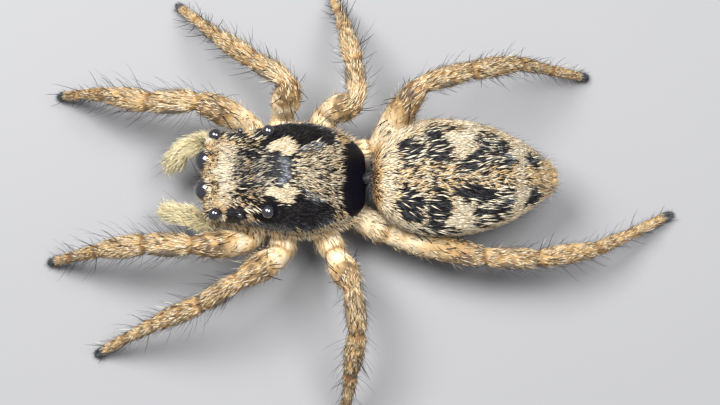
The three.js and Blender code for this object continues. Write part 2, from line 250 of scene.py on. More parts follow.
def ramp(value, low, high):
    t = np.clip((value - low) / (high - low), 0, 1)
    return t * t * (3 - 2 * t)


def mottle(points, size, key=0):
    """Soft noise, mostly between -1 and 1, whose blotches are about the given size apart."""
    dice = np.random.default_rng(70 + key)
    waves = unit(dice.normal(size=(14, 3))) * dice.uniform(0.6, 1.5, (14, 1)) * 2 * math.pi / size
    return np.sin(points @ waves.T + dice.uniform(0, 2 * math.pi, 14)).sum(axis=1) / 3.7


# ---- materials ----


class Value:
    """A socket's value in a material, which Python's operators join with Math nodes."""

    def __init__(self, finish, socket):
        self.finish, self.socket = finish, socket

    def math(self, operation, *others):
        return self.finish.node("ShaderNodeMath", {"operation": operation}, dict(enumerate([self, *others])))

    def __add__(self, other):
        return self.math("ADD", other)

    def __sub__(self, other):
        return self.math("SUBTRACT", other)

    def __mul__(self, other):
        return self.math("MULTIPLY", other)

    __radd__, __rmul__ = __add__, __mul__


class Finish:
    """A material and its nodes. What stays the same over the surface is set on the shader itself."""

    def __init__(self, name, **constants):
        self.material = bpy.data.materials.new(name)
        self.material.use_nodes = True
        self.tree = self.material.node_tree
        self.shader = self.tree.nodes["Principled BSDF"]
        for socket, value in constants.items():
            self.shader.inputs[socket.replace("_", " ")].default_value = value

    def node(self, kind, settings=None, inputs=None, output=0):
        made = self.tree.nodes.new(kind)
        for setting, value in (settings or {}).items():
            setattr(made, setting, value)
        for socket, value in (inputs or {}).items():
            if isinstance(value, Value):
                self.tree.links.new(value.socket, made.inputs[socket])
            else:
                made.inputs[socket].default_value = value
        return Value(self, made.outputs[output])

    def mix(self, factor, first, second):
        """Two colours mixed. Sockets 0, 6 and 7 are its factor and colours, and output 2 is its colour."""
        first, second = (v if isinstance(v, Value) else (*v, 1) for v in (first, second))
        return self.node("ShaderNodeMix", {"data_type": "RGBA"}, {0: factor, 6: first, 7: second}, 2)

    def noise(self, size_mm, detail=3, stretch=(1, 1, 1)):
        place = self.node("ShaderNodeTexCoord", output=3)
        scaled = self.node("ShaderNodeMapping", {}, {"Vector": place, "Scale": stretch})
        inputs = {"Vector": scaled, "Scale": 1 / (size_mm * MM), "Detail": detail}
        return self.node("ShaderNodeTexNoise", {}, inputs)

    def attribute(self, name):
        return self.node("ShaderNodeAttribute", {"attribute_name": name}, output=1)

    def parts(self, vector):
        split = self.node("ShaderNodeSeparateXYZ", {}, {0: vector}).socket.node
        return [Value(self, socket) for socket in split.outputs]

    def feed(self, socket, value):
        self.tree.links.new(value.socket, self.shader.inputs[socket])

    def bump(self, height, depth_mm):
        inputs = {"Height": height, "Distance": depth_mm * MM, "Strength": 0.6}
        self.feed("Normal", self.node("ShaderNodeBump", {}, inputs))


UNLIT, BLACK, SLATE = (0.0, 0.0, 0.0), (0.003, 0.003, 0.006), (0.5, 0.54, 0.6)
CREAM, GOLD, RUST = (0.96, 0.86, 0.65), (0.82, 0.52, 0.21), (0.42, 0.16, 0.08)


def marked_colour(finish, marks, palest=CREAM):
    """The colour of a place from its marks: how light, how warm and how slate-grey it is."""
    light, warm, slate = finish.parts(marks)
    pale = finish.mix(warm * 2, palest, GOLD)
    pale = finish.mix(warm * 2 - 1, pale, RUST)
    ground = finish.mix(light, BLACK, pale)
    return finish.mix(slate, ground, SLATE)


def make_skin_finish():
    skin = Finish("cuticle", Specular_IOR_Level=0.15)
    marks = skin.attribute("marks")
    light = skin.parts(marks)[0]
    speckle = skin.noise(0.03, 4)
    skin.feed("Base Color", skin.mix(speckle * 0.5, marked_colour(skin, marks), UNLIT))
    skin.feed("Roughness", 0.2 + light * 0.45 + speckle * 0.15)
    skin.bump(skin.noise(0.012, 3) * 0.6 + skin.noise(0.05, 2) * 0.4, 0.006)
    return skin.material


def make_coat_finish(name, roughness, palest=CREAM, **constants):
    coat = Finish(name, **constants)
    marks = coat.attribute("marks")
    grain = coat.noise(0.01, 2)
    coat.feed("Base Color", coat.mix(grain * 0.2, marked_colour(coat, marks, palest), UNLIT))
    coat.feed("Roughness", roughness + grain * 0.15)
    return coat.material


def make_cloudy_finish(name, size_mm, detail, colours, roughness, spread, stretch=(1, 1, 1), **constants):
    """A finish whose colour and roughness change together with soft noise, and the noise itself."""
    finish = Finish(name, **constants)
    cloud = finish.noise(size_mm, detail, stretch)
    finish.feed("Base Color", finish.mix(cloud, *colours))
    finish.feed("Roughness", roughness + cloud * spread)
    return finish, cloud


def make_eye_finish():
    colours = [(0.004, 0.004, 0.006), (0.02, 0.019, 0.028)]
    gloss = {"IOR": 1.6, "Coat_Weight": 1.0, "Coat_Roughness": 0.02}
    return make_cloudy_finish("eye_lens", 0.12, 2, colours, 0.03, 0.04, **gloss)[0].material


def make_jaw_finish():
    colours = [(0.03, 0.018, 0.01), (0.12, 0.06, 0.028)]
    jaw, ripple = make_cloudy_finish("jaw_cuticle", 0.04, 4, colours, 0.3, 0.2, (1, 1, 3), IOR=1.5)
    jaw.bump(ripple, 0.008)
    return jaw.material


def make_floor_finish():
    colours = [(0.2, 0.2, 0.205), (0.22, 0.22, 0.225)]
    return make_cloudy_finish("pale_floor", 6, 3, colours, 0.7, 0.1)[0].material


SKIN = make_skin_finish()
SCALES = make_coat_finish("scale_coat", 0.45, Specular_IOR_Level=0.1)
BRISTLES = make_coat_finish("bristle_coat", 0.4, Specular_IOR_Level=0.2)
PALP_HAIR = make_coat_finish("palp_hair", 0.45, (1.0, 0.91, 0.58), Specular_IOR_Level=0.2)
EYE = make_eye_finish()
JAW = make_jaw_finish()


# ---- body forms ----


def ease(place, places, values):
    """A smooth value through the places' values."""
    at = np.interp(place, places, np.arange(len(places)))
    index = np.clip(at.astype(int), 0, len(places) - 2)
    t = at - index
    padded = np.array([2 * values[0] - values[1], *values, 2 * values[-1] - values[-2]])
    a, b, c, d = (padded[index + k] for k in range(4))
    return b + 0.5 * t * (c - a + t * (2 * a - 5 * b + 4 * c - d + t * (3 * (b - c) + d - a)))


def carapace_form():
    front_rings, rear_rings = [0, 0.004, 0.012, 0.028, 0.05], [0.89, 0.93, 0.96, 0.98, 0.992, 1]
    shares = np.array([*front_rings, *np.linspace(0.1, 0.85, 16), *rear_rings])

    def end(share, edge, least):
        """An end that starts at the least share of its size, rounded over the edge's share of the length."""
        return least + (1 - least) * np.sqrt(1 - (1 - np.minimum(1, share / edge)) ** 2)

    blunt = end(shares, 0.05, 0.86) * end(1 - shares, 0.16, 0.55)
    widths = (ease(shares, CARAPACE_SHARES, CARAPACE_WIDTHS) - SKIN_DEPTH) * blunt
    rises = (ease(shares, CARAPACE_SHARES, CARAPACE_RISES) - SKIN_DEPTH) * blunt
    places = CARAPACE_FRONT + 0.02 + (CARAPACE_LENGTH - 0.022) * shares
    stations = [(x, w, 1, RIM_HEIGHT) for x, w in zip(places, widths)]
    form = ringed("carapace_skin", stations, 44)

    def section(points):
        """Each ring's height from the rises, squarer in the head than behind."""
        share = np.interp(points[:, 0], places, shares)
        rise = np.interp(points[:, 0], places, rises)
        width = np.interp(points[:, 0], places, widths)
        power = 0.72 + 0.22 * share
        across, up = points[:, 1] / width, points[:, 2] - RIM_HEIGHT
        points[:, 1] = width * np.sign(across) * np.abs(across) ** power
        lift = np.where(up > 0, rise, BELLY_DROP - 0.02)
        points[:, 2] = RIM_HEIGHT + lift * np.sign(up) * np.abs(up) ** power
        return points

    reshape(form, section)
    subdivide(form, 2)

    def features(points):
        """The dent behind the eyes, the furrow after it, the mounds of the eyes and a slight unevenness."""
        x, y, z = points.T
        move = -0.035 * np.exp(-(((x + 1.02) / 0.1) ** 2) - (y / 0.22) ** 2) * (z > 1.1)
        move -= 0.02 * np.exp(-(((x + 0.75) / 0.3) ** 2) - (y / 0.03) ** 2) * (z > 1.1)
        for ex, ey, ez, radius in EYES.values():
            if radius < LARGE_EYE:
                gap = np.sqrt((x - ex) ** 2 + (np.abs(y) - ey) ** 2 + (z - ez) ** 2)
                move += 0.5 * radius * np.exp(-((gap / (1.6 * radius)) ** 2))
        return move + 0.0015 * mottle(points, 0.48)

    swell(form, features)
    return form


def abdomen_form():
    fore, aft, first, last = 0.38, 0.62, 0.004, 0.975
    peak = fore / (fore + aft)
    along = np.linspace(0, 1, 26)
    t = first + (last - first) * (1 - np.cos(math.pi * along)) / 2
    size = (t / peak) ** fore * ((1 - t) / (1 - peak)) ** aft
    places = ABDOMEN_FRONT + 0.005 + (ABDOMEN_LENGTH - 0.005) * (t - first) / (last - first)
    widths = np.maximum(ABDOMEN_WIDTH * size - SKIN_DEPTH, 0.03)
    heights = np.maximum(ABDOMEN_HEIGHT * size**0.9 - SKIN_DEPTH, 0.03)
    middles = ABDOMEN_MIDDLE - TIP_DROP * t * t
    form = ringed("abdomen_skin", list(zip(places, widths, heights, middles)), 44)
    subdivide(form, 2)

    def features(points):
        """A slight unevenness and the small pits of the back."""
        x, y, z = points.T
        move = 0.003 * mottle(points, 0.64, 3)
        for pit_x in (0.85, 1.3, 1.7):
            gap = np.hypot(x - pit_x, np.abs(y) - 0.17)
            move -= 0.008 * np.exp(-((gap / 0.09) ** 2)) * (z > 1.2)
        return move

    swell(form, features)
    return form


def rounded_path(joints, bends, step=0.035):
    """Even points along the joints' path, rounded over each bend, with their distances and the joints'."""
    joints = [Vector(j) for j in joints]
    points = [joints[0]]
    for before, joint, after, bend in zip(joints, joints[1:], joints[2:], bends):
        start = joint + (before - joint).normalized() * bend
        end = joint + (after - joint).normalized() * bend
        for t in np.linspace(0, 1, 9):
            points.append(start.lerp(joint, t).lerp(joint.lerp(end, t), t))
    points.append(joints[-1])
    points = np.array(points)
    distance = np.concatenate([[0], np.cumsum(np.linalg.norm(np.diff(points, axis=0), axis=1))])
    even = np.linspace(0, distance[-1], int(distance[-1] / step))
    path = np.stack([np.interp(even, distance, points[:, k]) for k in range(3)], axis=1)
    places = [float(distance[np.argmin(np.linalg.norm(points - np.array(j), axis=1))]) for j in joints]
    return path, even, places


def direction(heading, rise):
    h, r = math.radians(heading), math.radians(rise)
    return Vector((math.cos(r) * math.cos(h), math.cos(r) * math.sin(h), math.sin(r)))


def leg_line(stance):
    """A leg's path and its distances, and where its joints are along it."""
    pair, root, hip, headings, rises = stance
    lengths = LEG_LENGTHS[pair]
    joints = [Vector((*root, HIP_HEIGHT)), Vector((*hip, HIP_HEIGHT))]
    for length, heading, rise in zip(lengths, headings, rises):
        joints.append(joints[-1] + direction(heading, rise) * length)
    fall = math.degrees(math.asin(min(1, (joints[-1].z - CLAW_HEIGHT) / lengths[4])))
    joints.append(joints[-1] + direction(headings[4], -fall) * lengths[4])
    return rounded_path(joints, [0.12, 0.26, 0.1, 0.08, 0.06])


def leg_form(name, stance):
    path, distance, joints = leg_line(stance)
    root, hip, knee, patella_end, tibia_end, metatarsus_end, tip = joints
    front = FIRST_LEG_GIRTH if stance[0] == 1 else 1.0
    thickness = [
        (root, 0.17), (hip - 0.1, 0.19), (hip, 0.145), (hip + 0.08, 0.155),
        (hip + 0.45 * (knee - hip), 0.2), (knee - 0.12, 0.165), (knee, 0.115), (knee + 0.07, 0.13 * front),
        (0.5 * (knee + patella_end), 0.152 * front), (patella_end - 0.06, 0.135 * front),
        (patella_end, 0.1 * front), (patella_end + 0.06, 0.128 * front),
        (0.55 * patella_end + 0.45 * tibia_end, 0.142 * front), (tibia_end - 0.06, 0.115),
        (tibia_end, 0.088), (tibia_end + 0.05, 0.1), (0.5 * (tibia_end + metatarsus_end), 0.09),
        (metatarsus_end, 0.072), (metatarsus_end + 0.04, 0.077),
        (tip - 0.12, 0.066), (tip - 0.03, 0.05), (tip, 0.03),
    ]
    radius = ease(distance, *np.array(thickness).T)
    return tube(name, path, radius, 5, levels=1), (path, distance, joints)


def palp_form(name, joints):
    path, distance, places = rounded_path(joints, [0.1, 0.1], 0.03)
    end = distance[-1]
    stations = [0, 0.3, places[2] - 0.1, places[2], end - 0.15, end]
    radius = ease(distance, stations, [0.1, 0.09, 0.1, 0.085, 0.1, 0.04])
    return tube(name, path, radius, levels=1), (path, distance, places)


def lean(piece):
    """Leans a piece of the fore body over with it."""
    about = Matrix.Translation((0, 0, LEAN_HEIGHT))
    piece.data.transform(about @ Matrix.Rotation(HEAD_LEAN, 4, "X") @ about.inverted())


carapace = carapace_form()
abdomen = abdomen_form()
legs = {name: leg_form(name + "_skin", stance) for name, stance in STANCES.items()}
palps = {side: palp_form(f"palp_{side}_skin", joints) for side, joints in PALPS.items()}


def block(name, front, rear, half_width, bottom, top):
    """The breast plate or mouth parts: a barrel along X, fuller in its middle."""
    along = np.linspace(0, 1, 12)
    size = 0.62 + 0.38 * np.sin(math.pi * along) ** 0.6
    middle, half = (bottom + top) / 2, (top - bottom) / 2
    stations = [(front + (rear - front) * a, half_width * s, half * s, middle) for a, s in zip(along, size)]
    form = ringed(name, stations, 24)
    subdivide(form, 1)
    return form


sternum = block("sternum_skin", -1.5, -0.2, 0.33, 0.43, 0.84)
mouth = block("mouth_skin", -1.9, -1.45, 0.27, 0.46, 0.82)
waist_line = [(-0.1, 0, 0.8), (0.05, 0, 0.84), (0.18, 0, 0.88), (0.35, 0, 0.92)]
waist = tube("waist_skin", waist_line, [0.14, 0.1, 0.1, 0.14])
spinners = []
for turn in range(6):
    angle = (turn + 0.5) * math.pi / 3
    start = Vector((2.46, 0.075 * math.sin(angle), 0.885 + 0.075 * math.cos(angle)))
    line = [start + Vector((0.045 * step, 0, 0)) for step in range(6)]
    spinners.append(tube(f"spinner_{turn}", line, [0.06, 0.06, 0.055, 0.05, 0.04, 0.02], 3))


# ---- the coat ----

# Each ring of a sliver is a share of its length and a share of its width. The pointed tip follows the last.
SCALE_RINGS = [(0.0, 0.4), (0.4, 1.0)]
HAIR_RINGS = [(0.0, 1.0), (0.35, 0.9), (0.7, 0.6)]


def scatter(piece, per_mm2, seed):
    """Evenly spread places on a form, with the surface's direction at each."""
    dice = np.random.default_rng(seed)
    mesh = piece.data
    mesh.calc_loop_triangles()
    corners = np.empty(len(mesh.loop_triangles) * 3, int)
    mesh.loop_triangles.foreach_get("vertices", corners)
    corners = corners.reshape(-1, 3)
    points, normals = points_of(piece), normals_of(piece)
    a, b, c = (points[corners[:, k]] for k in range(3))
    area = np.linalg.norm(np.cross(b - a, c - a), axis=1) / 2
    count = int(area.sum() * per_mm2 * 2.6)
    chosen = dice.choice(len(area), count, p=area / area.sum())
    weights = dice.dirichlet((1, 1, 1), count)[:, :, None]
    places = (points[corners[chosen]] * weights).sum(axis=1)
    facing = unit((normals[corners[chosen]] * weights).sum(axis=1))
    cells = np.floor(places * math.sqrt(per_mm2)).astype(int)
    _, first = np.unique(cells, axis=0, return_index=True)
    return places[first], facing[first]


def turned(vectors, axes, angles):
    """Vectors turned about their axes."""
    c, s = np.cos(angles)[:, None], np.sin(angles)[:, None]
    return vectors * c + np.cross(axes, vectors) * s


def along_surface(directions, normals):
    return unit(directions - normals * (directions * normals).sum(axis=1, keepdims=True))


def strands(name, ground, coat, stays, rings=HAIR_RINGS, material=SCALES, shaded_root_tone=0.4):
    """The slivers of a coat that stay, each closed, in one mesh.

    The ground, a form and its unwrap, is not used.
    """
    coat = {key: value[stays] for key, value in coat.items()}
    root, normal, lie = coat["root"], coat["normal"], coat["lie"]
    side = np.cross(normal, lie)
    count, across = len(root), [(-1, -0.3), (1, -0.3), (0, 0.7)]
    shares = [(a, b * w, c * w) for a, w in rings for b, c in across] + [(1, 0, 0)]
    length, width = coat["length"][:, None], coat["width"][:, None] / 2
    thickness = width * coat["roundness"]
    points, patches = [], []
    for a, b, c in shares:
        lift = length * (coat["rise"][:, None] * a + coat["curl"][:, None] * a * a)
        out = lift + thickness * c - ROOT_DEPTH * (1 - a)
        points.append(root + lie * length * a + normal * out + side * width * b)
        patches.append(coat["patch"] + np.array([0.0028 * a, 0.0014 * b]))
    per = len(shares)
    points = np.stack(points, axis=1).reshape(-1, 3)
    points[:, 2] = np.maximum(points[:, 2], FLOOR_CLEARANCE)
    patches = np.stack(patches, axis=1).reshape(-1, 2)
    faces = [(0, 2, 1)]
    for ring in range(len(rings) - 1):
        for k in range(3):
            a, b = 3 * ring + k, 3 * ring + (k + 1) % 3
            faces += [(a, b, b + 3), (a, b + 3, a + 3)]
    last = 3 * (len(rings) - 1)
    faces += [(last + k, last + (k + 1) % 3, per - 1) for k in range(3)]
    faces = (np.arange(count)[:, None, None] * per + np.array(faces)[None]).reshape(-1, 3)
    mesh = bpy.data.meshes.new(name)
    mesh.from_pydata(points, [], faces)
    mesh.polygons.foreach_set("use_smooth", np.ones(len(faces), bool))
    chart = mesh.uv_layers.new(name="OFBake")
    chart.data.foreach_set("uv", patches[faces.ravel()].ravel())
    piece = bpy.data.objects.new(name, mesh)
    bpy.context.collection.objects.link(piece)
    # Painted shade: each sliver's colour is darkened towards its root, where its neighbours shade it; the
    # root keeps the given share of its colour.
    painted_root_shade = np.array([(shaded_root_tone + (1 - shaded_root_tone) * min(1, 2 * a), 1, 1) for a, _, _ in shares])
    give(piece, "marks", (coat["marks"][:, None] * painted_root_shade).reshape(-1, 3))
    mesh.materials.append(material)
    return piece


def with_marks(light, warm, slate=0.0):
    return np.stack(np.broadcast_arrays(light, warm, slate), axis=-1).astype(float)


def plain(*tone):
    """Marks that are the same all over."""
    return lambda points: with_marks(*tone) * np.ones((len(points), 1))


def patched(marks, *patches):
    """Marks with patches laid over them in turn. Each is a mask and how light, warm and slate-grey it is."""
    for mask, *tone in patches:
        marks = marks + mask[:, None] * (with_marks(*tone) - marks)
    return marks


def oval(x, y, place, size, turn=0.0, edge=0.3):
    """1 inside a soft-edged oval and 0 outside it."""
    c, s = math.cos(math.radians(turn)), math.sin(math.radians(turn))
    u = ((x - place[0]) * c + (y - place[1]) * s) / size[0]
    v = ((y - place[1]) * c - (x - place[0]) * s) / size[1]
    return 1 - ramp(np.hypot(u, v), 1 - edge, 1 + edge)


def carapace_marks(points):
    """How light, warm and slate-grey the coat of the fore body is from place to place."""
    x, y, z = points.T
    x = x + 0.02 * mottle(points, 0.2, 1)
    side = np.abs(y) + 0.02 * mottle(points, 0.2, 2)
    crown = (1 - ramp(side, 0.45, 0.5)) * (z > 1)
    fan = 1 - ramp(side - 0.21 - 0.41 * (x + 0.93), -0.03, 0.03)
    crescent = np.exp(-(((np.hypot(x + 1.25, y) - 0.24) / 0.035) ** 2)) * ramp(x, -1.17, -1.08)
    spot = lambda *shape: oval(x, side, *shape)
    edge_height = z - 0.09 * ramp(-y, 0.2, 0.5) * ramp(x, -1.5, -0.6)
    return patched(
        plain(0.0, 0.3, 0.05)(points),
        (1 - ramp(z, 1.0, 1.25), 0.0, 0.4, 1.1),
        (crown * (1 - ramp(x, -1.34, -1.24)), 0.38, 0.25),
        (spot((-1.52, 0.22), (0.25, 0.05), -19), 0.05, 0.3),
        (oval(x, y, (-1.22, -0.01), (0.22, 0.24)), 0.05, 0.1, 0.12),
        (oval(x, y, (-1.32, -0.16), (0.17, 0.05), -8), 0.4, 0.0, 0.1),
        (crown * (1 - ramp(x, -1.8, -1.62)), 0.96, 0.04 + 0.16 * ramp(side, 0.2, 0.42)),
        (spot((-1.74, 0.55), (0.15, 0.08)), 0.0, 0.1, 0.2),
        (spot((-1.52, 0.57), (0.08, 0.07)), 0.88, 0.3),
        (spot((-1.03, 0.32), (0.29, 0.17), -10, 0.15), 0.03, 0.2),
        (fan * ramp(x, -1.0, -0.94) * (z > 0.9), 0.68, 0.14 + 0.25 * ramp(side, 0.35, 0.6)),
        (spot((-0.68, 0.33), (0.17, 0.05), 20), 0.3, 0.0, 0.9),
        (np.clip(1.3 * crescent, 0, 1), 0.0, 0.0, 1.3),
        (spot((-1.04, 0.33), (0.15, 0.115), -14, 0.12), 1.1, 0.12),
        (spot((-1.2, 0.29), (0.1, 0.06), -20, 0.12), 1.1, 0.12),
        (spot((-0.2, 0.54), (0.2, 0.09)), 0.72, 0.3),
        (1 - ramp(edge_height, 0.93, 1.01), 0.88, 0.12),
        (oval(x, z, (-0.88, 1.02), (0.08, 0.12)), 0.85, 0.3),
        (1 - ramp(x, -2.12, -2.09), 0.85, 0.1 + 0.25 * ramp(z, 0.95, 1.15)),
    )


def level_abdomen(points):
    """Places on the abdomen with its roll taken out."""
    x, y, z = points.T
    c, s = math.cos(ABDOMEN_ROLL), math.sin(ABDOMEN_ROLL)
    return x, y * c + (z - ABDOMEN_MIDDLE) * s, ABDOMEN_MIDDLE + (z - ABDOMEN_MIDDLE) * c - y * s


def abdomen_marks(points):
    """The same for the abdomen, where side is 0 on the back's middle line, 1 on the flanks and 2 below."""
    x, y, z = level_abdomen(points)
    x = x + 0.025 * mottle(points, 0.24, 3)
    side = np.arctan2(np.abs(y) / ABDOMEN_WIDTH, (z - ABDOMEN_MIDDLE) / ABDOMEN_HEIGHT) / (math.pi / 2)
    side = side + 0.035 * mottle(points, 0.24, 4)
    # Painted light: the dark patches are made lighter on the right flank, which faces the light, and darker
    # on the left, which lies in shade.
    painted_side_light = np.where(y < 0, 0.65, 1.35)
    spread = 0.15 + 1.2 * ramp(x, 2.36, 2.48)
    spot = lambda *shape: oval(x, side, *shape)
    dark = lambda light, *shape: (spot(*shape), light * painted_side_light, 0.3, 0.15)
    return patched(
        plain(0.93, 0.12)(points),
        (ramp(x, 0.35, 0.6) * (1 - ramp(side, 0.12, 0.3)), 0.75, 0.26),
        (ramp(side, 0.8, 0.95), 0.88, 0.22),
        (1 - ramp(x, 0.2, 0.3), 0.85, 0.6),
        (spot((1.37, 0.62), (0.2, 0.4)), 1.0, 0.03),
        (spot((2.13, 0.5), (0.11, 0.45)), 1.0, 0.06),
        dark(0.06, (0.64, 0.35), (0.17, 0.22), 0, 0.24),
        dark(0.42, (1.05, 0.7), (0.3, 0.15), 8, 0.24),
        dark(0.06, (0.99, 0.4), (0.19, 0.27), 12, 0.24),
        dark(0.05, (1.5, 0.19), (0.29, 0.12), 12, 0.24),
        dark(0.06, (1.88, 0.24), (0.14, 0.13), 0, 0.24),
        dark(0.22, (1.76, 0.5), (0.26, 0.28), 25, 0.24),
        dark(0.05, (2.33, 0.5), (0.12, 0.33), 0, 0.24),
        (spot((0.82, 0.42), (0.05, 0.13)), 0.6, 0.1),
        (spot((1.98, 0.36), (0.07, 0.12)), 0.1, 0.0, 1.0),
        (ramp(x, 2.2, 2.32) * (1 - ramp(side - spread, 0, 0.15)), 1.0, 0.36),
        (ramp(side, 1.15, 1.4), 0.75, 0.2, 0.15),
    )


def speckled(marks, share, dice, darkest):
    """Each sliver is pale or dark: the lighter the place, the more of them are pale."""
    count = len(marks)
    light, warm, slate = marks.T
    pale = share < light
    shade = dice.random(count)
    made = np.where(pale, 0.68 + 0.32 * shade, darkest * (0.1 + shade**2))
    warm = np.clip(warm + 0.14 * dice.normal(size=count), 0, 1)
    warm = np.where(pale & (light < 0.35), 0.05, warm)
    return with_marks(made, warm, np.where(pale, 0.0, slate * dice.random(count) ** 2.5))


def along_body(points):
    """Places drawn together along the body, so that tufts of like slivers are long and narrow."""
    return points * (0.35, 1, 1)


def coat_over(
    ground, per_mm2, seed, lie, marks, length, width,
    grain=along_body, rise=(0.1, 0.3), jitter=14, roundness=0.9, darkest=0.05,
):
    """Slivers over a form, each with its root, lie, size and marks.

    rise is how steeply they stand, jitter how many degrees they stray, and darkest the tone of the dark ones.
    """
    form, chart, _ = ground
    dice = np.random.default_rng(seed + 100)
    root, normal = scatter(form, per_mm2, seed)
    count = len(root)
    flow = along_surface(lie(root, normal), normal)
    flow = turned(flow, normal, np.radians(jitter) * dice.normal(size=count))
    share = 1 / (1 + np.exp(-1.7 * (0.6 * dice.normal(size=count) + 1.1 * mottle(grain(root), 0.045, 9))))
    tone = marks(root)
    lone = (share < tone[:, 0]) & (tone[:, 0] < 0.25)
    return {
        "root": root,
        "normal": normal,
        "lie": flow,
        "length": length * (0.75 + 0.5 * dice.random(count)) * np.where(lone, 1.55, 1),
        "width": width * (0.75 + 0.5 * dice.random(count)) * np.where(lone, 1.3, 1),
        "rise": dice.uniform(*rise, count) + np.where(lone, 0.12, 0),
        "curl": dice.uniform(-0.15, 0.0, count),
        "roundness": np.full((count, 1), roundness),
        "marks": speckled(tone, share, dice, darkest),
        "patch": chart(root),
    }


def unwrapped(u, v):
    """Places on the unwrap, a little inside its edges."""
    return np.clip(np.stack([u, v], axis=1), 0.004, 0.994)


def round_chart(front, length, middle):
    """An unwrap of a form along X, cut below."""

    def chart(points):
        angle = np.arctan2(points[:, 1], points[:, 2] - middle)
        return unwrapped((points[:, 0] - front) / length, angle / (2 * math.pi) + 0.5)

    return chart


EYE_BALLS = np.array([(x, sign * y, z, radius) for x, y, z, radius in EYES.values() for _, sign in SIDES])


def from_eyes(points):
    """The way from the nearest eye's middle to each point, the gap to its ball and the ball's radius."""
    ways = points[:, None] - EYE_BALLS[None, :, :3]
    gaps = np.linalg.norm(ways, axis=2) - EYE_BALLS[:, 3]
    nearest = gaps.argmin(axis=1)
    rows = np.arange(len(points))
    return ways[rows, nearest], gaps[rows, nearest], EYE_BALLS[nearest, 3]


def near_eyes(points):
    """True close to an eye, where nothing grows."""
    _, gap, radius = from_eyes(points)
    return gap < np.where(radius > LARGE_EYE, 0.009, 0.2 * radius + 0.012)


def combed(way, spread=(0, 0, 0)):
    """A lie the same way all over, but for a spread with the place."""
    return lambda points, normals: np.array(way, float) + points * spread


def carapace_lie(points, normals):
    x, y, _ = points.T
    flow = np.zeros_like(points)
    flow[:, 0] = 1
    flow[:, 1] = 1.1 * y * ramp(x, -1.0, -0.7) + 0.2 * y
    flow[:, 2] = -0.9 * np.abs(normals[:, 1]) ** 2
    face = ramp(-normals[:, 0], 0.6, 0.9)[:, None]
    flow = flow * (1 - face) + face * np.array([0.0, 0.0, -1.0])
    return turned(flow, normals, 0.22 * mottle(points, 0.64, 5))


def abdomen_lie(points, normals):
    x, y, _ = level_abdomen(points)
    flow = np.zeros_like(points)
    flow[:, 0] = 1
    comb = np.exp(-((y / 0.2) ** 2)) * ramp(x, 0.7, 1.4)
    flow[:, 1] = comb * y / (np.abs(y) + 0.04) * 0.6 - 0.12 * y * ramp(x, 0.8, 1.4)
    return turned(flow, normals, 0.16 * mottle(points, 0.56, 6))


SHELL = (carapace, round_chart(CARAPACE_FRONT, CARAPACE_LENGTH, RIM_HEIGHT), "carapace")
HIND = (abdomen, round_chart(ABDOMEN_FRONT, ABDOMEN_LENGTH, ABDOMEN_MIDDLE), "abdomen")
BODY_SCALES = {"jitter": 9, "roundness": 0.35, "darkest": 0.03}


def carapace_scales():
    coat = coat_over(SHELL, 2700, 11, carapace_lie, carapace_marks, 0.088, 0.013, **BODY_SCALES)
    at = coat["root"]
    x, y, z = at.T
    bare = (x > -0.28 + 0.03 * mottle(at, 0.2)) & (np.abs(y) < 0.45 + 0.5 * (x + 0.28))
    bare |= (z < RIM_HEIGHT - 0.01) | near_eyes(at)
    fine = (z < 1.15) & (np.abs(coat["normal"][:, 1]) > 0.5)
    fine |= oval(x, np.abs(y), (-1.08, 0.0), (0.12, 0.22)) > 0.4
    kinds = [fine, x > -0.9, x < -1.72]
    brown = oval(x, y, (-1.5, 0.0), (0.25, 0.46)) * np.clip(0.8 + 0.5 * mottle(at, 0.15, 21), 0, 1)
    coat["length"] *= np.select(kinds, [0.65, 1.3, 1.0], 1.0)
    coat["width"] *= np.select(kinds, [0.5, 0.8, 0.85], 1.0) * (1 - 0.3 * brown)
    coat["rise"] += np.where(fine, 0.15, 0.0)
    coat["marks"][:, 0] *= 1 - 0.55 * brown
    return strands("carapace_scales", SHELL, coat, ~bare, SCALE_RINGS)


def rim_fringe():
    """Beige hairs that stand out below the flanks, all round the shell's edge."""
    style = {"rise": (0.3, 0.9), "jitter": 16, "darkest": 0.03}
    coat = coat_over(SHELL, 2600, 13, combed((0.5, 0, -1)), plain(0.85, 0.22), 0.105, 0.009, **style)
    x, y, z = coat["root"].T
    open_ends = (x < -2.07) | ((x > -0.12) & (np.abs(y) < 0.5))
    low = np.abs(z - RIM_HEIGHT - 0.03) < 0.05
    return strands("carapace_rim_hair", SHELL, coat, low & ~open_ends)


def brow_marks(points):
    return with_marks(0.7, 0.25 + 0.25 * mottle(points, 0.1, 20), 0.1)


def brow():
    """Curved hairs from the head's front edge, forward over the back of the four front eyes."""
    style = {"rise": (0.2, 0.8), "jitter": 20, "roundness": 0.7}
    lie = combed((-1, 0, 0), (0, 0.25, 0))
    coat = coat_over(SHELL, 7000, 14, lie, brow_marks, 0.15, 0.0105, **style)
    x, y, _ = coat["root"].T
    gap = from_eyes(coat["root"])[1]
    edge = (x < -1.965) & (gap > -0.01) & (gap < 0.14) & (np.abs(y) < 0.5) & (coat["normal"][:, 2] > 0.2)
    coat["length"] *= np.clip((x + 2.11) / 0.15, 0.4, 1.3)
    coat["curl"] = -0.6 * coat["rise"] - 0.1
    return strands("brow_hair", SHELL, coat, edge, shaded_root_tone=0.5)


def lash_marks(points):
    """Peach above the eyes, white below and dark between them."""
    way, _, radius = from_eyes(points)
    up = way[:, 2] / radius
    marks = with_marks(0.75, 0.05 + 0.3 * ramp(up, -0.3, 0.5))
    return patched(marks, (1 - ramp(np.abs(up), 0.2, 0.6), 0.25, 0.3))


